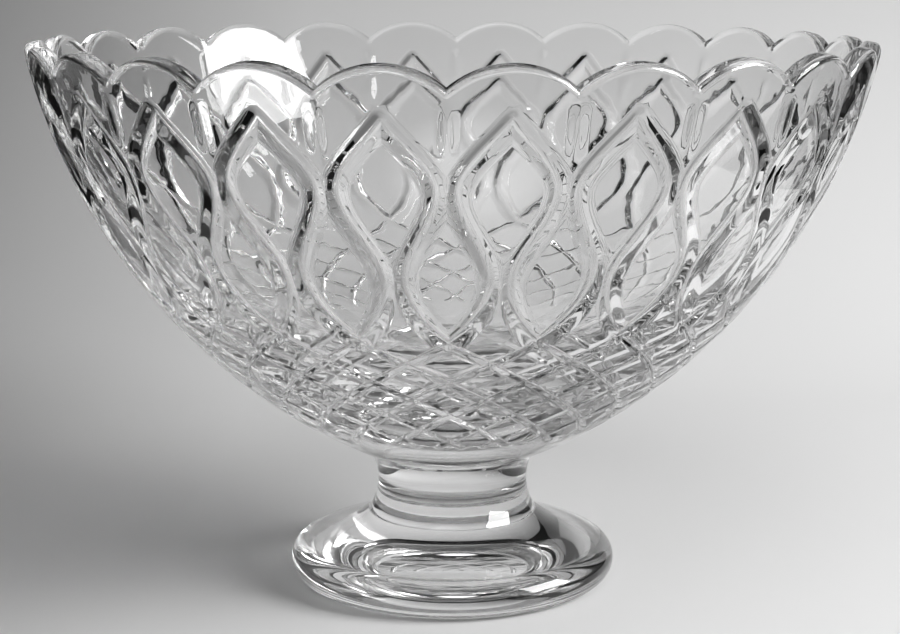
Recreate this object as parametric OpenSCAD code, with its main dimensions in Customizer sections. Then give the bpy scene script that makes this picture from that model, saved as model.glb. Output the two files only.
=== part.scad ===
// Footed crystal trifle bowl with a scalloped rim: bowl, stem and foot.
// Millimetres, +Z up, origin at the centre of the foot's underside.
// The rim's crests and notches alternate round the bowl, with a notch on the -Y axis.

/* [Bowl] */
// Outer radius of the rim at the crest of a scallop
rim_r = 140; // [125:1:155]
// Height of the rim's outer edge at a crest, above the table
rim_z = 184; // [168:1:200]
// Radius of the one arc that the outer wall follows from the stem to the rim
wall_arc_r = 197; // [185:1:215]
// Thickness of the glass at the rim, square to the wall
rim_wall = 6.5; // [5:0.5:9]
// Depth of solid glass between the bottom of the hollow and the stem
bowl_base = 24; // [18:1:30]

/* [Rim] */
// Number of scallops round the rim, which is also the number of mitre cuts
scallops = 24; // [18:1:30]
// Depth of each notch below the crests, measured down the wall
notch_drop = 7.4; // [4:0.2:10]

/* [Mitre cuts] */
// Length of the upright mitre cut that runs down from each notch
mitre_len = 16; // [10:1:24]
// Width of each mitre cut where it opens on the wall
mitre_w = 4; // [2:0.2:6]
// Angle between the two flanks of a mitre cut
mitre_angle = 155; // [130:5:165]

/* [Wave cuts] */
// Distance down the wall, from the rim's crest, at which the wave cuts begin under each crest
wave_top = 15.3; // [13:0.1:18]
// Distance down the wall at which a wave runs closest to its neighbour under a notch
wave_wide = 37; // [33:1:40]
// Distance down the wall at which it runs closest to its neighbour under a crest
wave_narrow = 67; // [60:1:72]
// Distance down the wall at which it meets its neighbour under a notch and ends
wave_end = 92; // [86:1:96]
// Half of the way between the middles of two waves where they run closest
wave_neck = 3; // [2.8:0.1:3.6]
// Slant of a wave where it begins
wave_top_slant = 38; // [30:1:45]
// Slant of a wave where it ends
wave_end_slant = 40; // [30:1:45]
// Width of a wave cut where it opens on the wall
wave_w = 5.4; // [4:0.2:6]
// Angle between the two flanks of a wave cut
wave_angle = 116; // [100:1:130]

/* [Stem] */
// Height of the seam between stem and bowl
stem_top_z = 44; // [40:1:48]
// Height of the stem's narrowest ring
waist_z = 34.2; // [31:0.2:37]
// Radius of the stem at its narrowest ring
waist_r = 25.7; // [22:0.1:30]
// Radius of the hollow curve of the waist
waist_arc_r = 20; // [18:0.5:22]

/* [Foot] */
// Radius of the foot
foot_r = 56; // [50:1:66]
// Thickness of the foot at its rounded edge
foot_edge = 13; // [10:0.5:14]
// Height of the seam between foot and stem, where the outline has a corner
foot_top_z = 23.2; // [21:0.2:26]
// Radius of the hollow curve of the foot's top, from that corner to the rounded edge
foot_arc_r = 50; // [40:1:80]
// Radius of the shallow hollow ground in the underside
recess_r = 46; // [30:1:47]
// Depth of that hollow at its centre
recess_depth = 3; // [1:0.5:4]

/* [Hidden] */

// Fineness of the round forms in a preview
$fn = 180;
// How far a cutter reaches past the glass that it cuts
overrun = 4;
// Colours of clear glass
glass_pale = [0.86, 0.88, 0.89, 0.6];
glass_grey = [0.78, 0.8, 0.82, 0.7];
glass_deep = [0.7, 0.72, 0.75, 0.7];

// Angle of one column of the pattern
column = 360 / scallops;

// Centre of a circle of radius r through a and b, on the left of the way from a to b
function arc_centre(a, b, r) =
    let (d = b - a, half = norm(d) / 2, rise = sqrt(r * r - half * half))
    (a + b) / 2 + rise * [-d.y, d.x] / norm(d);

// The waist's circle lies in the air beside the stem
waist_centre = [waist_r + waist_arc_r, waist_z];

// Radius of the stem where it passes height z
function stem_r(z) = waist_centre.x - sqrt(pow(waist_arc_r, 2) - pow(z - waist_z, 2));

// The outer wall's arc runs from the stem's seam to the crest
rim_point = [rim_r, rim_z];
wall_foot = [stem_r(stem_top_z), stem_top_z];
wall_centre = arc_centre(wall_foot, rim_point, wall_arc_r);

// Outward and upward directions of the wall at the rim
rim_out = (rim_point - wall_centre) / wall_arc_r;
rim_up = [-rim_out.y, rim_out.x];
rim_tilt = atan2(rim_up.x, rim_up.y);

// The hollow is part of a sphere that meets the rim's inner edge and the bowl's floor
inner_rim = rim_point - rim_wall * rim_out;
floor_z = stem_top_z + bowl_base;
hollow_h = inner_rim.y - floor_z;
hollow_r = (pow(inner_rim.x, 2) + pow(hollow_h, 2)) / (2 * hollow_h);

// A scallop is an arc whose chord spans one column
half_chord = rim_r * sin(column / 2);
scallop_r = (pow(half_chord, 2) + pow(notch_drop, 2)) / (2 * notch_drop);
scallop_centre = rim_point - scallop_r * rim_up;

// Mitre cut: depth from its width and angle, and the place of its middle on the wall
mitre_depth = mitre_w / 2 / tan(mitre_angle / 2);
mitre_mid_turn = rim_tilt + (notch_drop + mitre_len / 2) / wall_arc_r * 180 / PI;
mitre_out = [cos(mitre_mid_turn), -sin(mitre_mid_turn)];
mitre_mid = wall_centre + wall_arc_r * mitre_out;

// The wall laid flat: x runs along it from the plane of a crest, and s down it from the crest
function wall_turn(s) = rim_tilt + s / wall_arc_r * 180 / PI;
function wall_reach(s) = wall_centre.x + wall_arc_r * cos(wall_turn(s));
function half_width(s) = wall_reach(s) * column / 2 * PI / 180;

// Point of the flat wall set back on the wall and raised off it by h, with the crest on the +X axis
function on_wall(p, h) =
    let (reach = wall_reach(p.y) + h * cos(wall_turn(p.y)), turn = p.x / wall_reach(p.y) * 180 / PI)
    [reach * cos(turn), reach * sin(turn), wall_centre.y - (wall_arc_r + h) * sin(wall_turn(p.y))];

// Middle line of a wave cut, through keys of distance down, share of half a column, and slope of that share
wave_keys = [
    [wave_top, 0, tan(wave_top_slant) / half_width(wave_top)],
    [wave_wide, 1 - wave_neck / half_width(wave_wide), 0],
    [wave_narrow, wave_neck / half_width(wave_narrow), 0],
    [wave_end, 1, tan(wave_end_slant) / half_width(wave_end)]
];
function between(a, b, t) =
    let (drop = b.x - a.x, s = a.x + t * drop)
    let (from_a = ((2 * t - 3) * t * t + 1) * a.y + ((t - 2) * t + 1) * t * drop * a.z)
    let (from_b = (3 - 2 * t) * t * t * b.y + (t - 1) * t * t * drop * b.z)
    [(from_a + from_b) * half_width(s), s];

// Number of straight lengths that stand in for the curve between two keys
wave_lengths = 3;
wave_depth = wave_w / 2 / tan(wave_angle / 2);
// How far the cutter stands off the wall
wave_rise = 1;
// A wave that leans left is this much shallower than the one that it crosses, so their edges stay apart
wave_under = 0.06;
wave_middle = [
    for (k = [0 : 2]) for (i = [0 : wave_lengths - 1])
        between(wave_keys[k], wave_keys[k + 1], i / wave_lengths),
    between(wave_keys[2], wave_keys[3], 1)
];
// The wheel leaves the glass a little way past each end
run_out = wave_w / 2;
wave_line = [
    wave_middle[0] - run_out * [sin(wave_top_slant), cos(wave_top_slant)],
    each wave_middle,
    wave_middle[3 * wave_lengths] + run_out * [sin(wave_end_slant), cos(wave_end_slant)]
];
wave_last = len(wave_line) - 1;

// The three corners of the cutter's section at one point of the line, for a cut of that depth
function wave_section(i, depth) =
    let (way = wave_line[min(i + 1, wave_last)] - wave_line[max(i - 1, 0)])
    let (across = [way.y, -way.x] / norm(way) * wave_w / 2 * (depth + wave_rise) / wave_depth)
    let (sink = i == 0 || i == wave_last ? -wave_rise / 2 : depth)
    [
        on_wall(wave_line[i], -sink),
        on_wall(wave_line[i] + across, wave_rise),
        on_wall(wave_line[i] - across, wave_rise)
    ];

// The foot's edge is a half round, and the curve of its top runs into it smoothly
edge_r = foot_edge / 2;
edge_centre = [foot_r - edge_r, edge_r];
foot_corner = [stem_r(foot_top_z), foot_top_z];
to_edge = (edge_centre - foot_corner) / norm(edge_centre - foot_corner);
corner_gap = norm(edge_centre - foot_corner);
along = (pow(corner_gap, 2) - pow(edge_r, 2) - 2 * foot_arc_r * edge_r) / (2 * corner_gap);
aside = sqrt(pow(foot_arc_r, 2) - pow(along, 2));
foot_arc_centre = foot_corner + along * to_edge + aside * [-to_edge.y, to_edge.x];
foot_arc_end = edge_centre + edge_r * (foot_arc_centre - edge_centre) / (foot_arc_r + edge_r);

// The underside's hollow is a shallow arc that leaves a flat ring to stand on
recess_reach = min(recess_r, edge_centre.x - 2);
recess_arc_r = (pow(recess_reach, 2) + pow(recess_depth, 2)) / (2 * recess_depth);

// Half section of the bowl before the rim is cut
module bowl_section() {
    difference() {
        intersection() {
            translate(wall_centre) circle(wall_arc_r);
            translate([0, stem_top_z]) square([rim_r + overrun, rim_z + overrun - stem_top_z]);
        }
        translate([0, floor_z + hollow_r]) circle(hollow_r);
    }
}

// Disc across the wall whose upper half is one scallop, on the +X axis
module scallop_disc() {
    translate([scallop_centre.x, 0, scallop_centre.y])
        rotate([0, 90 + rim_tilt, 0])
            cylinder(r = scallop_r, h = 4 * (rim_wall + overrun), center = true);
}

// Everything above the scallops, as one ring
module above_rim() {
    difference() {
        rotate_extrude()
            translate([inner_rim.x - overrun, rim_z - notch_drop - overrun])
                square([rim_wall + 3 * overrun, notch_drop + 3 * overrun]);
        for (k = [0 : scallops - 1])
            rotate((k + 0.5) * column - 90) scallop_disc();
    }
}

// V-shaped bar that cuts one mitre, on the +X axis
module mitre_cutter() {
    flare = (mitre_depth + overrun) / mitre_depth;
    translate([mitre_mid.x, 0, mitre_mid.y])
        rotate([0, mitre_mid_turn, 0])
            translate([-mitre_depth, 0, -mitre_len / 2])
                linear_extrude(mitre_len + notch_drop)
                    polygon([
                        [0, 0],
                        [mitre_depth * flare, -mitre_w / 2 * flare],
                        [mitre_depth * flare, mitre_w / 2 * flare]
                    ]);
}

// V-shaped bar that cuts one wave, with its crest on the +X axis
module wave_cutter(depth) {
    sides = [
        for (i = [0 : wave_last - 1]) for (k = [0 : 2])
            let (a = 3 * i + k, b = 3 * i + (k + 1) % 3)
            each [[a, a + 3, b], [b, a + 3, b + 3]]
    ];
    polyhedron(
        [for (i = [0 : wave_last]) each wave_section(i, depth)],
        [[0, 1, 2], each sides, [3 * wave_last + 2, 3 * wave_last + 1, 3 * wave_last]]
    );
}

// Bowl with its scalloped rim, the mitre cut under each notch and the wave cuts
module bowl() {
    color(glass_pale)
        difference() {
            rotate_extrude() bowl_section();
            above_rim();
            for (k = [0 : scallops - 1])
                rotate(k * column - 90) mitre_cutter();
            for (k = [0 : scallops - 1]) for (side = [0, 1])
                rotate((k + 0.5) * column - 90)
                    mirror([0, side, 0])
                        wave_cutter(wave_depth - side * wave_under);
        }
}

// Stem, waisted between its two seams
module stem() {
    color(glass_grey)
        rotate_extrude()
            difference() {
                translate([0, foot_top_z]) square([waist_centre.x, stem_top_z - foot_top_z]);
                translate(waist_centre) circle(waist_arc_r);
            }
}

// Foot with a hollow curve on top, a rounded edge and a shallow hollow underneath
module foot() {
    color(glass_deep)
        rotate_extrude()
            difference() {
                union() {
                    polygon([[0, 0], [edge_centre.x, 0], foot_arc_end, foot_corner, [0, foot_top_z]]);
                    translate(edge_centre) circle(edge_r);
                }
                translate(foot_arc_centre) circle(foot_arc_r);
                translate([0, recess_depth - recess_arc_r]) circle(recess_arc_r);
                translate([-foot_r, -recess_arc_r]) square([foot_r, 3 * recess_arc_r]);
            }
}

bowl();
stem();
foot();
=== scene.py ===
"""Looks of the footed crystal bowl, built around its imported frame.

Every piece is clear glass that is seen through, so its mesh has the true inner and outer surfaces. The
bowl's outside is cut: one half column of the pattern, from the middle of a scallop to a notch, is worked out
on the wall laid flat, raised on to the wall, mirrored, and turned round the axis. The glass and the camera's
place are given in millimetres, which MM turns into metres. The paper, the lamp and the room are in metres.
"""
import math

import bpy
import numpy as np
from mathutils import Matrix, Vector
from mathutils.geometry import delaunay_2d_cdt


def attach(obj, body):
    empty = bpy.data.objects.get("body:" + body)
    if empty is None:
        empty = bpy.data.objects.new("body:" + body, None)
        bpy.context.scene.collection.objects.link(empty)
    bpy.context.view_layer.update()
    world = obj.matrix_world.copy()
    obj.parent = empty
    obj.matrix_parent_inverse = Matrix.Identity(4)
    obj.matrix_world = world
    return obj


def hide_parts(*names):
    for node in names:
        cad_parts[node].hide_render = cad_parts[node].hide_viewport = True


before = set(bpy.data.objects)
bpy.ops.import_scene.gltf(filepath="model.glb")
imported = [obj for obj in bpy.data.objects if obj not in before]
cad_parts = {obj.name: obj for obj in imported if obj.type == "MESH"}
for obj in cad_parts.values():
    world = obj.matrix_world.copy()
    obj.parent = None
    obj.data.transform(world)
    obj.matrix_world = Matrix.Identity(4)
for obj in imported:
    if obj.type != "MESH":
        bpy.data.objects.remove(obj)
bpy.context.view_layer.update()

MM = 0.001

# Bowl: an arc from the rim's crest down to the stem outside, part of a sphere inside
RIM_R = 140.0
RIM_Z = 184.0
WALL_ARC_R = 197.0
RIM_WALL = 6.5
BOWL_BASE = 24.0
SCALLOPS = 24
NOTCH_DROP = 7.4
RIM_OUTER_ROUND = 2.0
RIM_INNER_ROUND = 2.2

# Stem and foot
STEM_TOP_Z = 44.0
WAIST_Z = 34.2
WAIST_R = 25.7
WAIST_ARC_R = 20.0
FOOT_R = 56.0
FOOT_EDGE = 13.0
FOOT_TOP_Z = 23.2
FOOT_ARC_R = 50.0
RECESS_R = 46.0
RECESS_DEPTH = 3.0

# Cuts. A place down the wall is its distance from the rim's crest along the wall. A half is half of a cut's
# width, and a round says how far its valley and then its ridges are rounded. A wave starts on the crest's
# plane, comes within its neck of the notch's plane and then of the crest's, and ends on the notch's.
WAVE_HALF = 3.4
WAVE_DEPTH = 2.2
WAVE_ROUND = 1.3, 1.1
WAVE_TOP, WAVE_WIDE, WAVE_NARROW, WAVE_END = 15.3, 37.0, 67.0, 92.0
WAVE_NECK = 3.0
WAVE_TOP_TURN, WAVE_END_TURN = math.radians(38), math.radians(40)
LATTICE_HALF = 1.4
LATTICE_DEPTH = 1.3
LATTICE_ROUND = 0.3, 0.5
LATTICE_STEP = 9.7
LATTICE_ROWS = 6.5
MITRE_HALF = 2.6
MITRE_DEPTH = 0.6
MITRE_ROUND = 1.4, 1.2
MITRE_TOP, MITRE_END = 9.4, 28.0
MITRE_RUN_IN, MITRE_RUN_OUT = 6.0, 9.0

# How finely the rim is drawn: stations from crest to notch, ways in the fan at the notch, and rows
RIM_STATIONS = 15
RIM_FAN = 5
RIM_ROUND_ROWS = 6
RIM_FACE_ROWS = 5

# How finely the cut wall is drawn: points along each line, and the lengths between points
WAVE_STEP, WAVE_FINE_STEP = 0.8, 0.2
LATTICE_POINTS = 14
MITRE_POINTS = 26
CROSSING_POINTS = 9
CROSSING_LENGTH = 4.0
SIDE_POINTS = 150
SEAM_POINTS = 5
SPACING = 1.9
ROW_SHARE = 0.87
CLEARANCE = 0.8

# A corner's normal is taken this share of the way to its triangle's middle, over this step
NORMAL_PULL = 0.04
NORMAL_STEP = 0.012

# How finely the rest is drawn, and how often a search is halved
HOLLOW_ROWS = 70
PROFILE_POINTS = 60
RECESS_POINTS = 40
AROUND = 288
HALVINGS = 60

# Gaps that are too small to count, and the decimals to which points are compared
JOINED = 1e-5
ON_BORDER = 1e-4
ON_SIDE = 2e-3
ON_PLANE = 1e-3
WELD_DECIMALS = 4

# Places of the materials in a piece's list
GLASS, SEAM, GROUND = 0, 1, 2

# Half a column of the pattern and a whole one, as turns round the axis
HALF_COLUMN = math.pi / SCALLOPS
COLUMN = 2 * HALF_COLUMN


def unit(v):
    return v / np.linalg.norm(v, axis=-1, keepdims=True)


# The wall's arc: its centre, its turn from level at the rim, and its length
stem_r_at_top = WAIST_R + WAIST_ARC_R - math.sqrt(WAIST_ARC_R ** 2 - (STEM_TOP_Z - WAIST_Z) ** 2)
wall_foot = np.array([stem_r_at_top, STEM_TOP_Z])
rim_point = np.array([RIM_R, RIM_Z])
chord = rim_point - wall_foot
chord_rise = math.sqrt(WALL_ARC_R ** 2 - chord @ chord / 4)
wall_centre = (rim_point + wall_foot) / 2 + chord_rise * unit(np.array([-chord[1], chord[0]]))
RIM_TURN = math.atan2(wall_centre[1] - RIM_Z, RIM_R - wall_centre[0])
WALL_LENGTH = WALL_ARC_R * (math.asin((wall_centre[1] - STEM_TOP_Z) / WALL_ARC_R) - RIM_TURN)

# The hollow's sphere
inner_rim = rim_point - RIM_WALL * np.array([math.cos(RIM_TURN), -math.sin(RIM_TURN)])
hollow_h = inner_rim[1] - STEM_TOP_Z - BOWL_BASE
HOLLOW_R = (inner_rim[0] ** 2 + hollow_h ** 2) / (2 * hollow_h)
hollow_centre = np.array([0.0, 0.0, STEM_TOP_Z + BOWL_BASE + HOLLOW_R])


def wall_radius(s):
    """The wall's distance from the axis, at distance s down it."""
    return wall_centre[0] + WALL_ARC_R * np.cos(RIM_TURN + s / WALL_ARC_R)


def half_width(s):
    """Width of half a column of the pattern, at distance s down the wall."""
    return wall_radius(s) * HALF_COLUMN


def on_wall(x, s, depth):
    """Points at x along the wall from the crest's plane and s down it, sunk by depth."""
    turn = RIM_TURN + s / WALL_ARC_R
    round_turn = x / wall_radius(s)
    reach = wall_centre[0] + (WALL_ARC_R - depth) * np.cos(turn)
    height = wall_centre[1] - (WALL_ARC_R - depth) * np.sin(turn)
    return np.stack([reach * np.cos(round_turn), reach * np.sin(round_turn), height], -1)


def wall_turn(points):
    """Where points on the wall lie on its arc, as a turn from level."""
    reach = np.hypot(points[..., 0], points[..., 1])
    return np.arctan2(wall_centre[1] - points[..., 2], reach - wall_centre[0])


def to_wall(points):
    """The x and s of points that lie on the wall."""
    reach = np.hypot(points[..., 0], points[..., 1])
    round_turn = np.arctan2(points[..., 1], points[..., 0])
    return np.stack([reach * round_turn, (wall_turn(points) - RIM_TURN) * WALL_ARC_R], -1)


# Centre lines of the cuts, in the half column laid flat

def smooth_step_line(keys, step):
    """A curve through keys of (s, share of the half column, slope of that share)."""
    line = []
    for (s0, u0, m0), (s1, u1, m1) in zip(keys, keys[1:]):
        span = s1 - s0
        for t in np.linspace(0, 1, max(2, round(span / step)), endpoint=False):
            u = ((2 * t - 3) * t * t + 1) * u0 + ((t - 2) * t + 1) * t * span * m0
            u += (3 - 2 * t) * t * t * u1 + (t - 1) * t * t * span * m1
            line.append((u, s0 + t * span))
    line.append((keys[-1][1], keys[-1][0]))
    line = np.array(line)
    return np.stack([line[:, 0] * half_width(line[:, 1]), line[:, 1]], -1)


def wave_line(step):
    """A wave's centre line, from the crest's plane to the notch's."""
    keys = [
        (WAVE_TOP, 0, math.tan(WAVE_TOP_TURN) / half_width(WAVE_TOP)),
        (WAVE_WIDE, 1 - WAVE_NECK / half_width(WAVE_WIDE), 0),
        (WAVE_NARROW, WAVE_NECK / half_width(WAVE_NARROW), 0),
        (WAVE_END, 1, math.tan(WAVE_END_TURN) / half_width(WAVE_END)),
    ]
    return smooth_step_line(keys, step)


def lattice_lines():
    """The lattice's centre lines, one to a row, from side to side of the half column."""
    lines = []
    for row in range(math.ceil(LATTICE_ROWS)):
        share = min(1.0, LATTICE_ROWS - row)
        t = np.linspace(0, share, LATTICE_POINTS)
        s = WAVE_END + LATTICE_STEP * (row + t)
        u = 1 - t if row % 2 == 0 else t
        lines.append(np.stack([u * half_width(s), s], -1))
    return lines


def mitre_line(gap):
    """The line at that gap beside the mitre's middle, from its top to its end."""
    s = np.linspace(MITRE_TOP, MITRE_END, MITRE_POINTS)
    return np.stack([half_width(s) - gap, s], -1)


def mirrored(line):
    """A line with its images in the crest's plane and in the notch's plane."""
    over_crest = line * [-1, 1]
    over_notch = np.stack([2 * half_width(line[:, 1]) - line[:, 0], line[:, 1]], -1)
    return [line, over_crest, over_notch]


def distance(points, line):
    """Distance of each point from a line."""
    a, b = line[:-1], line[1:]
    way = b - a
    best = np.full(len(points), np.inf)
    for start, step in zip(a, way):
        t = np.clip((points - start) @ step / (step @ step), 0, 1)
        gap = points - start - t[:, None] * step
        best = np.minimum(best, np.einsum("ij,ij->i", gap, gap))
    return np.sqrt(best)


def soft_abs(x, width):
    """A distance x whose sharp turn at zero is rounded over a width."""
    return np.where(x < width, x * x / (2 * width) + width / 2, x)


def soft_ramp(x, width):
    """Nothing below zero and x above it, with the turn between them rounded over a width."""
    return np.where(x < -width, 0, np.where(x < width, (x + width) ** 2 / (4 * width), x))


def v_cut(gap, half, depth, rounding):
    """Depth of a V-shaped cut at a gap from its centre line, with its valley and its ridges rounded."""
    valley, ridge = rounding
    return depth / half * soft_ramp(half - soft_abs(gap, valley), ridge)


def fade(share):
    """Goes smoothly from 0 to 1 as the share does."""
    share = np.clip(share, 0, 1)
    return share * share * (3 - 2 * share)


WAVES = mirrored(wave_line(WAVE_FINE_STEP))
LATTICE = [image for line in lattice_lines() for image in mirrored(line)]


def cut_depth(points):
    """How deep the cuts are at points of the half column laid flat."""
    depth = np.zeros(len(points))
    cuts = (
        (WAVES, WAVE_HALF, WAVE_DEPTH, WAVE_ROUND),
        (LATTICE, LATTICE_HALF, LATTICE_DEPTH, LATTICE_ROUND),
    )
    for lines, half, deep, rounding in cuts:
        reach = half + 2 * rounding[1]
        for line in lines:
            low, high = line[:, 1].min() - reach, line[:, 1].max() + reach
            near = np.nonzero((points[:, 1] > low) & (points[:, 1] < high))[0]
            if len(near):
                cut = v_cut(distance(points[near], line), half, deep, rounding)
                depth[near] = np.maximum(depth[near], cut)
    gap = np.abs(points[:, 0] - half_width(points[:, 1]))
    mitre = v_cut(gap, MITRE_HALF, MITRE_DEPTH, MITRE_ROUND)
    mitre *= fade((points[:, 1] - MITRE_TOP) / MITRE_RUN_IN)
    mitre *= fade((MITRE_END - points[:, 1]) / MITRE_RUN_OUT)
    return np.maximum(depth, mitre)


def wall_normals(points, pull):
    """Outward normals of the cut wall at points, each taken a little way towards its pull."""
    at = points + NORMAL_PULL * (pull - points)
    right, left = at + [NORMAL_STEP, 0], at - [NORMAL_STEP, 0]
    down, up = at + [0, NORMAL_STEP], at - [0, NORMAL_STEP]
    across = on_wall(*right.T, cut_depth(right)) - on_wall(*left.T, cut_depth(left))
    along = on_wall(*down.T, cut_depth(down)) - on_wall(*up.T, cut_depth(up))
    return unit(np.cross(along, across))


# A scallop's circle at the crest: the ways out of the wall, up it and along it, its radius and its centre
CREST_OUT = np.array([math.cos(RIM_TURN), 0, -math.sin(RIM_TURN)])
CREST_UP = np.array([math.sin(RIM_TURN), 0, math.cos(RIM_TURN)])
CREST_SIDE = np.array([0.0, 1.0, 0.0])
half_chord = RIM_R * math.sin(HALF_COLUMN)
SCALLOP_R = (half_chord ** 2 + NOTCH_DROP ** 2) / (2 * NOTCH_DROP)
scallop_centre = np.array([RIM_R, 0, RIM_Z]) - SCALLOP_R * CREST_UP


def off_wall(p):
    """How far a point lies outside the wall."""
    return np.hypot(np.hypot(p[0], p[1]) - wall_centre[0], p[2] - wall_centre[1]) - WALL_ARC_R


def off_hollow(p):
    """How far a point lies outside the hollow."""
    return np.linalg.norm(p - hollow_centre) - HOLLOW_R


def root(f, low, high):
    """Where f changes sign between low and high."""
    sign = f(low) > 0
    for _ in range(HALVINGS):
        middle = (low + high) / 2
        if (f(middle) > 0) == sign:
            low = middle
        else:
            high = middle
    return (low + high) / 2


def scallop_edge(off_surface, low, high):
    """Points where a scallop's cylinder meets a surface, from the crest to the notch, with their angles.

    The surface is looked for from low to high, outwards from the scallop's circle.
    """
    def point(angle):
        base = scallop_centre + SCALLOP_R * (math.cos(angle) * CREST_UP + math.sin(angle) * CREST_SIDE)
        return base + root(lambda w: off_surface(base + w * CREST_OUT), low, high) * CREST_OUT

    def past_notch(angle):
        p = point(angle)
        return math.atan2(p[1], p[0]) - HALF_COLUMN

    last = root(past_notch, low=0.2, high=1.2)
    angles = np.linspace(0, last, RIM_STATIONS)
    points = np.array([point(angle) for angle in angles])
    points[-1, 1] = points[-1, 0] * math.tan(HALF_COLUMN)
    return points, angles


def inward_along(points, normals):
    """Ways in the surface, square to an edge and down from it, and a fan of such ways at the notch."""
    ways = np.gradient(points, axis=0)
    square = unit(np.cross(ways, normals))
    square *= np.where(square[:, 2:] > 0, -1, 1)
    square[0, 1] = 0
    notch_side = np.array([-math.sin(HALF_COLUMN), math.cos(HALF_COLUMN), 0])
    last = square[-1]
    in_plane = np.cross(notch_side, normals[-1])
    in_plane = unit(in_plane * (-1 if in_plane[2] > 0 else 1))
    fan = [unit(last * (1 - t) + in_plane * t) for t in np.linspace(0, 1, RIM_FAN + 1)[1:]]
    return unit(square), np.array(fan)


class Patch:
    """Triangles that each have a material, and a normal at each corner."""

    def __init__(self):
        self.points, self.triangles, self.normals, self.materials = [], [], [], []

    def add(self, points, triangles, normals, material=GLASS):
        start = sum(len(p) for p in self.points)
        self.points.append(np.asarray(points, float))
        self.triangles.append(np.asarray(triangles, int) + start)
        self.normals.append(np.asarray(normals, float))
        self.materials.append(np.full(len(triangles), material))

    def grid(self, points, normals, material=GLASS):
        """A grid of points with a normal at each, rows down and stations across."""
        rows, across = points.shape[:2]
        index = np.arange(rows * across).reshape(rows, across)
        a, b, c, d = index[:-1, :-1], index[:-1, 1:], index[1:, 1:], index[1:, :-1]
        halves = np.stack([a, b, c], -1), np.stack([a, c, d], -1)
        triangles = np.concatenate([half.reshape(-1, 3) for half in halves])
        self.add(points.reshape(-1, 3), triangles, normals.reshape(-1, 3)[triangles], material)

    def welded(self):
        """The patch with equal points made one, facing outwards, and no empty triangle or unused point."""
        points = np.concatenate(self.points)
        triangles = np.concatenate(self.triangles)
        normals = np.concatenate(self.normals)
        materials = np.concatenate(self.materials)
        rounded = np.round(points, WELD_DECIMALS)
        _, first, same = np.unique(rounded, axis=0, return_index=True, return_inverse=True)
        points, triangles = points[first], same.reshape(-1)[triangles]
        whole = (triangles[:, 0] != triangles[:, 1]) & (triangles[:, 1] != triangles[:, 2])
        whole &= triangles[:, 2] != triangles[:, 0]
        triangles, normals, materials = triangles[whole], normals[whole], materials[whole]
        used, places = np.unique(triangles, return_inverse=True)
        points, triangles = points[used], places.reshape(-1, 3)
        a, b, c = (points[triangles[:, i]] for i in range(3))
        faces_in = np.einsum("ij,ij->i", np.cross(b - a, c - a), normals.sum(1)) < 0
        triangles[faces_in] = triangles[faces_in][:, ::-1]
        normals[faces_in] = normals[faces_in][:, ::-1]
        return points, triangles, normals, materials


def rim_strip(patch):
    """The scalloped rim with its rounded edges. Gives the lines below it on the wall and in the hollow."""
    outer, outer_angles = scallop_edge(off_wall, low=-6, high=8)
    inner, inner_angles = scallop_edge(off_hollow, low=-RIM_WALL - 6, high=-RIM_WALL + 6)
    across = unit(inner - outer)
    turn = wall_turn(outer)
    azimuth = np.arctan2(outer[:, 1], outer[:, 0])
    outer_normals = [np.cos(turn) * np.cos(azimuth), np.cos(turn) * np.sin(azimuth), -np.sin(turn)]
    outer_normals = np.stack(outer_normals, -1)
    inner_normals = unit(hollow_centre - inner)

    def face_normals(angles):
        return np.cos(angles)[:, None] * CREST_UP + np.sin(angles)[:, None] * CREST_SIDE

    def rounded(edge, normals, over, rounding):
        """Rows of a quarter round from the surface to the rim's face."""
        square, fan = inward_along(edge, normals)
        inwards = np.concatenate([square, fan])
        edge = np.concatenate([edge, np.repeat(edge[-1:], len(fan), 0)])
        over = np.concatenate([over, np.repeat(over[-1:], len(fan), 0)])
        rows, row_normals = [], []
        for turn in np.linspace(0, math.pi / 2, RIM_ROUND_ROWS):
            s, c = math.sin(turn), math.cos(turn)
            rows.append(edge + rounding * ((1 - s) * inwards + (1 - c) * over))
            row_normals.append(unit(-(s * inwards + c * over)))
        return np.array(rows), np.array(row_normals)

    outer_rows, outer_row_normals = rounded(outer, outer_normals, across, RIM_OUTER_ROUND)
    inner_rows, inner_row_normals = rounded(inner, inner_normals, -across, RIM_INNER_ROUND)
    patch.grid(outer_rows, outer_row_normals)
    patch.grid(inner_rows, inner_row_normals)
    share = np.linspace(0, 1, RIM_FACE_ROWS)[:, None, None]
    face = outer_rows[-1, :RIM_STATIONS] * (1 - share) + inner_rows[-1, :RIM_STATIONS] * share
    angles = outer_angles[None] * (1 - share[..., 0]) + inner_angles[None] * share[..., 0]
    patch.grid(face, np.array([face_normals(row) for row in angles]))
    return outer_rows[0], inner_rows[0]


def offset_lines(line, gaps):
    """Lines beside a line, on both sides, at each gap."""
    ways = unit(np.gradient(line, axis=0))
    across = np.stack([-ways[:, 1], ways[:, 0]], -1)
    return [line + side * gap * across for gap in gaps for side in ((1, -1) if gap else (1,))]


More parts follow.
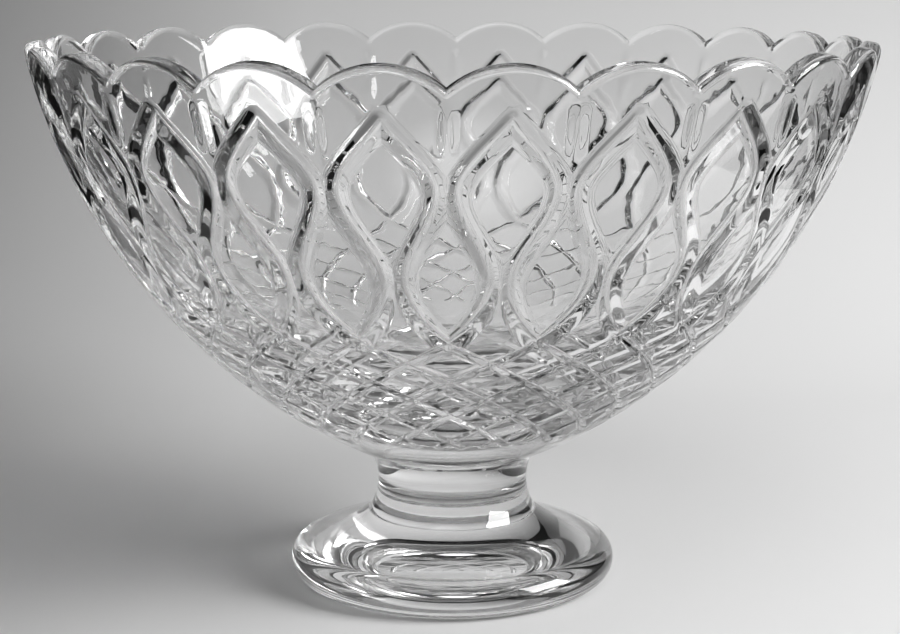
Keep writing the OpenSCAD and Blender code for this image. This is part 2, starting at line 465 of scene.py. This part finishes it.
def flat_lines(top_flat):
    """The half column laid flat: the points of its border and of the cuts' lines, and the edges between."""
    down = np.linspace(0, 1, SIDE_POINTS)
    left_s = top_flat[0, 1] + (WALL_LENGTH - top_flat[0, 1]) * down
    right_s = top_flat[-1, 1] + (WALL_LENGTH - top_flat[-1, 1]) * down
    left = np.stack([np.zeros(SIDE_POINTS), left_s], -1)
    right = np.stack([half_width(right_s), right_s], -1)
    seam_x = np.linspace(0, half_width(WALL_LENGTH), SEAM_POINTS)
    seam = np.stack([seam_x, np.full(SEAM_POINTS, WALL_LENGTH)], -1)
    points = list(np.concatenate([top_flat, right[1:], seam[::-1][1:], left[::-1][1:-1]]))
    edges = [(i, (i + 1) % len(points)) for i in range(len(points))]

    def add_line(line):
        start = len(points)
        points.extend(line)
        edges.extend((start + i, start + i + 1) for i in range(len(line) - 1))

    def steps(half, rounding):
        """Gaps from a cut's centre line at which its slope starts or stops to turn."""
        valley, ridge = rounding
        return [0, valley, half - ridge, half + ridge]

    for line in offset_lines(wave_line(WAVE_STEP), steps(WAVE_HALF, WAVE_ROUND)):
        add_line(line)
    for row in lattice_lines():
        for line in offset_lines(row, steps(LATTICE_HALF, LATTICE_ROUND)):
            add_line(line)
    for gap in steps(MITRE_HALF, MITRE_ROUND)[1:]:
        add_line(mitre_line(gap))

    # Short level lines inwards from where cuts cross on the sides
    crossings = [(half_width(WAVE_END), WAVE_END, -1), (0, WAVE_TOP, 1)]
    for row in range(1, math.ceil(LATTICE_ROWS)):
        s = WAVE_END + LATTICE_STEP * row
        crossings.append((0, s, 1) if row % 2 else (half_width(s), s, -1))
    for x, s, way in crossings:
        level = x + way * np.linspace(0, CROSSING_LENGTH, CROSSING_POINTS)
        add_line(np.stack([level, np.full(CROSSING_POINTS, s)], -1))
    return points, edges


def filled(points):
    """The points with more between them, in rows of nearly equilateral triangles."""
    busy = np.array(points)
    more = []
    for row, s in enumerate(np.arange(SPACING, WALL_LENGTH - SPACING / 2, SPACING * ROW_SHARE)):
        for x in np.arange(SPACING * (0.5 + 0.5 * (row % 2)), half_width(s) - 0.5 * SPACING, SPACING):
            if np.min(np.abs(busy - [x, s]).sum(1)) > CLEARANCE:
                more.append(np.array([x, s]))
    return points + more


def cut_wall(patch, top):
    """The outside of the half column, with its cuts, below the line along the rim's rounding."""
    top_flat = to_wall(top)
    points, edges = flat_lines(top_flat)
    points = [Vector(p) for p in filled(points)]
    flat, _, faces, originals, _, _ = delaunay_2d_cdt(points, edges, [], 0, JOINED)
    flat = np.array(flat)
    faces = np.array(faces)
    middles = flat[faces].mean(1)
    top_edge = np.interp(middles[:, 0], top_flat[:, 0], top_flat[:, 1])
    inside = (middles[:, 0] > ON_BORDER) & (middles[:, 0] < half_width(middles[:, 1]) - ON_BORDER)
    inside &= (middles[:, 1] > top_edge) & (middles[:, 1] < WALL_LENGTH)
    faces, middles = faces[inside], middles[inside]

    # Points near a side are put on it, and triangles that lie in a side are left out
    at_crest = np.abs(flat[:, 0]) < ON_SIDE
    flat[at_crest, 0] = 0
    at_notch = np.abs(flat[:, 0] - half_width(flat[:, 1])) < ON_SIDE
    flat[at_notch, 0] = half_width(flat[at_notch, 1])
    empty = at_crest[faces].all(1) | at_notch[faces].all(1)
    faces, middles = faces[~empty], middles[~empty]
    flat[np.abs(flat[:, 1] - WALL_LENGTH) < ON_SIDE, 1] = WALL_LENGTH

    # The line along the rim's rounding comes first in the points, and is kept as it was given
    solid = on_wall(*flat.T, cut_depth(flat))
    for i, sources in enumerate(originals):
        for source in sources:
            if source < len(top):
                solid[i] = top[source]
    corners = flat[faces].reshape(-1, 2)
    normals = wall_normals(corners, np.repeat(middles, 3, 0)).reshape(-1, 3, 3)
    patch.add(solid, faces, normals)
    at_seam = np.nonzero(np.abs(flat[:, 1] - WALL_LENGTH) < ON_SIDE)[0]
    return solid[at_seam[np.argsort(flat[at_seam, 0])]]


def hollow_wall(patch, top):
    """The inside of the half column, down to the middle of the hollow's floor."""
    radial = unit(top - hollow_centre)
    start = np.arccos(np.clip(-radial[:, 2], -1, 1))
    azimuth = np.arctan2(top[:, 1], top[:, 0])
    azimuth[0], azimuth[-1] = 0, HALF_COLUMN
    from_floor = start[None] * np.linspace(1, 0, HOLLOW_ROWS)[:, None]
    level = np.sin(from_floor)
    ways = np.stack([level * np.cos(azimuth), level * np.sin(azimuth), -np.cos(from_floor)], -1)
    points = hollow_centre + HOLLOW_R * ways
    points[0] = top
    points[-1] = hollow_centre - [0, 0, HOLLOW_R]
    patch.grid(points, unit(hollow_centre - points))


def seam_disc(patch, ring):
    """The flat face below the half column, where it meets the stem."""
    points = np.concatenate([[[0, 0, STEM_TOP_Z]], ring])
    triangles = np.array([(0, i, i + 1) for i in range(1, len(ring))])
    patch.add(points, triangles, np.tile([0.0, 0.0, -1.0], (len(triangles), 3, 1)), SEAM)


def full_round(points, triangles, normals, materials):
    """The half column mirrored and turned round the axis, with the points in shared planes made one."""
    reach = np.hypot(points[:, 0], points[:, 1])
    angle = np.arctan2(points[:, 1], points[:, 0])
    on_axis = reach < ON_PLANE
    on_crest = (np.abs(angle * reach) < ON_PLANE) & ~on_axis
    on_notch = (np.abs((angle - HALF_COLUMN) * reach) < ON_PLANE) & ~on_axis
    inside = ~(on_axis | on_crest | on_notch)
    groups = [on_axis, on_crest, on_notch, inside]
    rank = np.zeros(len(points), int)
    for group in groups:
        rank[group] = np.arange(group.sum())
    n_axis, n_crest, n_notch, n_inside = (int(group.sum()) for group in groups)
    start_crest = n_axis
    start_notch = start_crest + SCALLOPS * n_crest
    start_inside = start_notch + SCALLOPS * n_notch
    all_points = np.zeros((start_inside + 2 * SCALLOPS * n_inside, 3))
    all_triangles, all_normals = [], []

    # Column 0 starts at the notch over -Y
    for column in range(SCALLOPS):
        turn = (column + 0.5) * COLUMN - math.pi / 2
        c, s = math.cos(turn), math.sin(turn)
        spin = np.array([[c, s, 0], [-s, c, 0], [0, 0, 1]])
        for half, flip in enumerate((1, -1)):
            side = np.array([1, flip, 1])
            notch = (column + (1 if flip > 0 else 0)) % SCALLOPS
            index = np.zeros(len(points), int)
            index[on_axis] = rank[on_axis]
            index[on_crest] = start_crest + column * n_crest + rank[on_crest]
            index[on_notch] = start_notch + notch * n_notch + rank[on_notch]
            index[inside] = start_inside + (2 * column + half) * n_inside + rank[inside]
            all_points[index] = (points * side) @ spin
            order = slice(None, None, flip)
            all_triangles.append(index[triangles][:, order])
            all_normals.append(((normals * side) @ spin)[:, order])
    all_materials = np.tile(materials, 2 * SCALLOPS)
    return all_points, np.concatenate(all_triangles), np.concatenate(all_normals), all_materials


def new_piece(name, points, triangles, normals, materials, slots):
    """A piece with a normal at each corner of each face."""
    mesh = bpy.data.meshes.new(name)
    mesh.vertices.add(len(points))
    mesh.vertices.foreach_set("co", (points * MM).ravel())
    mesh.loops.add(3 * len(triangles))
    mesh.loops.foreach_set("vertex_index", triangles.ravel())
    mesh.polygons.add(len(triangles))
    mesh.polygons.foreach_set("loop_start", np.arange(0, 3 * len(triangles), 3))
    mesh.polygons.foreach_set("material_index", materials)
    mesh.polygons.foreach_set("use_smooth", np.ones(len(triangles), bool))
    mesh.update(calc_edges=True)
    mesh.validate()
    mesh.normals_split_custom_set(normals.reshape(-1, 3))
    for material in slots:
        mesh.materials.append(material)
    piece = bpy.data.objects.new(name, mesh)
    bpy.context.scene.collection.objects.link(piece)
    return piece


def bowl_mesh():
    patch = Patch()
    outer_line, inner_line = rim_strip(patch)
    ring = cut_wall(patch, outer_line)
    hollow_wall(patch, inner_line)
    seam_disc(patch, ring)
    return full_round(*patch.welded())


# Stem and foot, turned from a profile

def arc(centre, radius, start, end, count):
    """Points along an arc in the profile's plane, with the way out from its centre at each."""
    angle = np.radians(np.linspace(start, end, count))
    way = np.stack([np.cos(angle), np.sin(angle)], -1)
    return np.array(centre) + radius * way, way


def straight(a, b, normal):
    """The two ends of a straight run of the profile, with its normal at each."""
    return np.array([a, b], float), np.array([normal, normal], float)


def turned(runs):
    """Turns runs of (points, normals, material), top to bottom, round the axis."""
    patch = Patch()
    turn = np.linspace(0, 2 * math.pi, AROUND + 1)
    turn[-1] = 0
    c, s = np.cos(turn), np.sin(turn)

    def spun(profile):
        x, z = profile[:, :1], profile[:, 1:]
        return np.stack([x * c, x * s, z + 0 * c], -1)

    for points, normals, material in runs:
        patch.grid(spun(points), spun(normals), material)
    return patch.welded()


waist_centre = np.array([WAIST_R + WAIST_ARC_R, WAIST_Z])
edge_r = FOOT_EDGE / 2
edge_centre = np.array([FOOT_R - edge_r, edge_r])
corner = np.array([waist_centre[0] - math.sqrt(WAIST_ARC_R ** 2 - (FOOT_TOP_Z - WAIST_Z) ** 2), FOOT_TOP_Z])
corner_gap = np.linalg.norm(edge_centre - corner)
to_edge = (edge_centre - corner) / corner_gap
along = (corner_gap ** 2 - edge_r ** 2 - 2 * FOOT_ARC_R * edge_r) / (2 * corner_gap)
aside = math.sqrt(FOOT_ARC_R ** 2 - along ** 2)
foot_arc_centre = corner + along * to_edge + aside * np.array([-to_edge[1], to_edge[0]])


def waist_angle(z):
    """Angle on the waist's circle, seen from its centre, at height z."""
    return 180 - math.degrees(math.asin((z - WAIST_Z) / WAIST_ARC_R))


def stem_mesh():
    start, end = waist_angle(STEM_TOP_Z), waist_angle(FOOT_TOP_Z)
    side, way = arc(waist_centre, WAIST_ARC_R, start, end, PROFILE_POINTS)
    top = straight([0, STEM_TOP_Z], side[0], [0, 1])
    bottom = straight(side[-1], [0, FOOT_TOP_Z], [0, -1])
    return turned([(*top, SEAM), (side, -way, GLASS), (*bottom, SEAM)])


def turn_of(way):
    """Angle of a way in the profile's plane, in degrees."""
    return math.degrees(math.atan2(way[1], way[0]))


def foot_mesh():
    seam = straight([0, FOOT_TOP_Z], corner, [0, 1])
    arc_start, arc_end = turn_of(corner - foot_arc_centre), turn_of(edge_centre - foot_arc_centre)
    top, top_way = arc(foot_arc_centre, FOOT_ARC_R, arc_start, arc_end, PROFILE_POINTS)
    round_edge, round_way = arc(edge_centre, edge_r, arc_end + 180, -90, PROFILE_POINTS)
    recess_arc_r = (RECESS_R ** 2 + RECESS_DEPTH ** 2) / (2 * RECESS_DEPTH)
    ring = straight(round_edge[-1], [RECESS_R, 0], [0, -1])
    start = math.degrees(math.acos(RECESS_R / recess_arc_r))
    hollow, hollow_way = arc([0, RECESS_DEPTH - recess_arc_r], recess_arc_r, start, 90, RECESS_POINTS)
    hollow[0, 1] = 0
    hollow[-1, 0] = 0
    return turned([
        (*seam, SEAM),
        (top, -top_way, GLASS),
        (round_edge, round_way, GLASS),
        (*ring, GROUND),
        (hollow, -hollow_way, GLASS),
    ])


# Materials

GLASS_IOR = 1.54

# Faint unevenness of the polish on each piece: its height in metres, and how finely it ripples
BOWL_POLISH = 0.00007, 80
STEM_POLISH = 0.00002, 40
FOOT_POLISH = 0.00003, 45


def new_material(name):
    """A material with its node tree and its shader."""
    material = bpy.data.materials.new(name)
    material.use_nodes = True
    return material, material.node_tree, material.node_tree.nodes["Principled BSDF"]


def math_node(tree, operation, *values):
    """One number worked out from others, each of which is a number or a socket."""
    node = tree.nodes.new("ShaderNodeMath")
    node.operation = operation
    for socket, value in zip(node.inputs, values):
        if isinstance(value, (int, float)):
            socket.default_value = value
        else:
            tree.links.new(value, socket)
    return node.outputs[0]


def map_range(tree, value, start, end, first, last, kind="LINEAR"):
    """A number that goes from first to last while the value goes from start to end."""
    node = tree.nodes.new("ShaderNodeMapRange")
    node.interpolation_type = kind
    tree.links.new(value, node.inputs["Value"])
    for socket, number in (("From Min", start), ("From Max", end), ("To Min", first), ("To Max", last)):
        node.inputs[socket].default_value = number
    return node.outputs[0]


def clear_glass(name, tone, roughness):
    """Glass that light passes through, with its node tree and its shader."""
    material, tree, glass = new_material(name)
    glass.inputs["Base Color"].default_value = (tone, tone, tone, 1)
    glass.inputs["Roughness"].default_value = roughness
    glass.inputs["IOR"].default_value = GLASS_IOR
    glass.inputs["Transmission Weight"].default_value = 1
    return material, tree, glass


def crystal(name, height, scale):
    """Clear polished glass, with the faint unevenness that acid polishing leaves."""
    material, tree, glass = clear_glass(name, tone=1, roughness=0)
    place = tree.nodes.new("ShaderNodeTexCoord")
    ripple = tree.nodes.new("ShaderNodeTexNoise")
    ripple.inputs["Scale"].default_value = scale
    ripple.inputs["Detail"].default_value = 2
    bump = tree.nodes.new("ShaderNodeBump")
    bump.inputs["Strength"].default_value = 1
    bump.inputs["Distance"].default_value = height
    tree.links.new(place.outputs["Object"], ripple.inputs["Vector"])
    tree.links.new(ripple.outputs["Fac"], bump.inputs["Height"])
    tree.links.new(bump.outputs["Normal"], glass.inputs["Normal"])
    return material


def seam_glass():
    """The face inside the glass where two pieces meet, which can't be seen."""
    material, _, glass = new_material("seam_inside_glass")
    glass.inputs["Alpha"].default_value = 0
    glass.inputs["Roughness"].default_value = 0
    return material


def ground_glass():
    """The ring that the foot stands on, ground flat."""
    return clear_glass("ground_ring", tone=0.97, roughness=0.18)[0]


def make_object():
    seam = seam_glass()
    ring = ground_glass()
    bowl_glass = crystal("bowl_crystal", *BOWL_POLISH)
    stem_glass = crystal("stem_crystal", *STEM_POLISH)
    foot_glass = crystal("foot_crystal", *FOOT_POLISH)
    parts = [
        ("cut_bowl", "bowl", bowl_mesh(), [bowl_glass, seam]),
        ("turned_stem", "stem", stem_mesh(), [stem_glass, seam]),
        ("round_foot", "foot", foot_mesh(), [foot_glass, seam, ring]),
    ]
    for name, node, made, slots in parts:
        piece = new_piece(name, *made, slots)
        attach(piece, "root")
        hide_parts(node)


# Camera, at the photograph's place and lens, turned a little round the bowl's axis

IMAGE_WIDTH = 900
FOCAL_PIXELS = 1938.0
SENSOR = 36.0
CLIP_START = 10.0
CAMERA_AWAY = 650.5
CAMERA_SIDE = -0.82
CAMERA_Z = 216.6
CAMERA_PITCH = math.radians(10.99)
CAMERA_TURN = math.radians(0.75)


def make_camera():
    camera = bpy.data.objects.new("camera", bpy.data.cameras.new("camera"))
    bpy.context.scene.collection.objects.link(camera)
    camera.data.sensor_width = SENSOR
    camera.data.lens = FOCAL_PIXELS / IMAGE_WIDTH * SENSOR
    camera.data.clip_start = CLIP_START * MM
    c, s = math.cos(CAMERA_TURN), math.sin(CAMERA_TURN)
    x, y = CAMERA_SIDE * c + CAMERA_AWAY * s, CAMERA_SIDE * s - CAMERA_AWAY * c
    camera.location = Vector((x, y, CAMERA_Z)) * MM
    camera.rotation_euler = (math.pi / 2 - CAMERA_PITCH, 0, CAMERA_TURN)
    bpy.context.scene.camera = camera


# Paper: its front, where its bend starts, the bend's radius and the top of its back, its sides at the front
# and how much wider each side is at the back, how far it lies below the foot, and its rows

SHEET_FRONT, BEND_FROM, BEND_R, SHEET_TOP = -0.125, 0.25, 0.45, 0.5
SHEET_LEFT, SHEET_RIGHT, SHEET_SPREAD = -0.2, 0.3, 0.14
SHEET_SUNK = 0.0002
FLAT_ROWS, BEND_ROWS = 6, 30

# Its painted shade across and upwards, darker to the left and towards the top as if less light fell there:
# from and to where it changes, and what it changes from and to
PAINTED_SHADE_ACROSS = -0.34, -0.1, 0.43, 0.8
PAINTED_SHADE_UP = 0, 0.35, 1, 0.6


def sweep_paper():
    """Matt paper with painted shade: its colour darkens towards the left and upwards, as if less light fell
    there.
    """
    material, tree, paper = new_material("sweep_paper")
    place = tree.nodes.new("ShaderNodeTexCoord")
    split = tree.nodes.new("ShaderNodeSeparateXYZ")
    tree.links.new(place.outputs["Object"], split.inputs[0])
    # Painted shade: the colour is made darker towards the left and towards the top, on top of the shade that
    # the lamps give
    across = map_range(tree, split.outputs["X"], *PAINTED_SHADE_ACROSS)
    up = map_range(tree, split.outputs["Z"], *PAINTED_SHADE_UP)
    tree.links.new(math_node(tree, "MULTIPLY", across, up), paper.inputs["Base Color"])
    paper.inputs["Roughness"].default_value = 0.9
    paper.inputs["Specular IOR Level"].default_value = 0.1

    # Clear where it is looked at from its back, so that it never hides the bowl
    back = tree.nodes.new("ShaderNodeNewGeometry").outputs["Backfacing"]
    seen = tree.nodes.new("ShaderNodeLightPath").outputs["Is Camera Ray"]
    behind = math_node(tree, "MULTIPLY", back, seen)
    mix = tree.nodes.new("ShaderNodeMixShader")
    clear = tree.nodes.new("ShaderNodeBsdfTransparent")
    for socket, value in zip(mix.inputs, (behind, paper.outputs[0], clear.outputs[0])):
        tree.links.new(value, socket)
    tree.links.new(mix.outputs[0], tree.nodes["Material Output"].inputs["Surface"])
    return material


def make_sweep():
    """One seamless sheet of paper: a table top that ends just before the bowl and curves up behind it."""
    back = BEND_FROM + BEND_R
    profile = [(y, 0.0) for y in np.linspace(SHEET_FRONT, BEND_FROM, FLAT_ROWS)]
    turns = np.linspace(0, math.pi / 2, BEND_ROWS)[1:]
    profile += [(BEND_FROM + BEND_R * math.sin(turn), BEND_R - BEND_R * math.cos(turn)) for turn in turns]
    profile.append((back, SHEET_TOP))
    points = []
    for y, z in profile:
        wider = SHEET_SPREAD * (y - SHEET_FRONT) / (back - SHEET_FRONT)
        points += [(SHEET_LEFT - wider, y, z - SHEET_SUNK), (SHEET_RIGHT + wider, y, z - SHEET_SUNK)]
    faces = [(2 * i, 2 * i + 1, 2 * i + 3, 2 * i + 2) for i in range(len(profile) - 1)]
    mesh = bpy.data.meshes.new("sweep")
    mesh.from_pydata(points, [], faces)
    for face in mesh.polygons:
        face.use_smooth = True
    sweep = bpy.data.objects.new("sweep", mesh)
    bpy.context.scene.collection.objects.link(sweep)
    mesh.materials.append(sweep_paper())


# Lamp: its azimuth and elevation in degrees and its distance, its size, its radiance, and where it is aimed

SOFTBOX_PLACE = 73.5, 24.8, 1.2
SOFTBOX_SIZE = 0.7, 0.62
SOFTBOX_RADIANCE = 14.5
SOFTBOX_AIM = 0, 0, 0.1

# Room: the azimuth and elevation of each glow, the cosines at its edge and where it is full, its strength,
# and the sines of the elevations between which it fades in above the floor. The rest is dark.
WINDOW = (-10, 60), (0.9, 0.98), 1.8, (0.05, 0.3)
RIGHT_SIDE = (90, 15), (0.3, 0.9), 0.08, (-0.1, 0.15)
DARK = 0.004


def compass(azimuth, elevation):
    """Unit vector at an azimuth from the camera's side towards +X, and an elevation, in degrees."""
    a, e = math.radians(azimuth), math.radians(elevation)
    return math.sin(a) * math.cos(e), -math.cos(a) * math.cos(e), math.sin(e)


def make_softbox():
    """The lamp, which faces the bowl. Its light is given as radiance, where 1 is white."""
    azimuth, elevation, away = SOFTBOX_PLACE
    width, height = SOFTBOX_SIZE
    lamp = bpy.data.lights.new("softbox", "AREA")
    lamp.shape = "RECTANGLE"
    lamp.size, lamp.size_y = width, height
    lamp.energy = SOFTBOX_RADIANCE * math.pi * width * height
    light = bpy.data.objects.new("softbox", lamp)
    bpy.context.scene.collection.objects.link(light)
    aim = Vector(SOFTBOX_AIM)
    light.location = aim + away * Vector(compass(azimuth, elevation))
    light.rotation_euler = (aim - light.location).to_track_quat("-Z", "Y").to_euler()


def make_room():
    """A dark room with a pale window high above the camera, and a little paler on the right."""
    world = bpy.data.worlds.new("room")
    bpy.context.scene.world = world
    world.use_nodes = True
    tree = world.node_tree
    way = tree.nodes.new("ShaderNodeTexCoord").outputs["Generated"]

    def towards(direction, edges, strength):
        """Grows smoothly from 0 to its strength as the way turns towards a direction."""
        dot = tree.nodes.new("ShaderNodeVectorMath")
        dot.operation = "DOT_PRODUCT"
        tree.links.new(way, dot.inputs[0])
        dot.inputs[1].default_value = direction
        return map_range(tree, dot.outputs["Value"], *edges, 0, strength, "SMOOTHSTEP")

    def glow(place, edges, strength, floor):
        """Light round a place in the room, which fades in above the floor."""
        round_place = towards(compass(*place), edges, strength)
        return math_node(tree, "MULTIPLY", round_place, towards((0, 0, 1), floor, 1))

    light = math_node(tree, "ADD", math_node(tree, "ADD", glow(*WINDOW), glow(*RIGHT_SIDE)), DARK)
    tree.links.new(light, tree.nodes["Background"].inputs["Strength"])
    tree.nodes["Background"].inputs["Color"].default_value = (1, 1, 1, 1)


def render_settings():
    scene = bpy.context.scene
    scene.view_settings.view_transform = "Standard"
    cycles = scene.cycles
    cycles.max_bounces = 32
    cycles.transmission_bounces = 32
    cycles.glossy_bounces = 16
    cycles.diffuse_bounces = 4
    cycles.transparent_max_bounces = 32


make_camera()
make_object()
make_sweep()
make_room()
make_softbox()
render_settings()
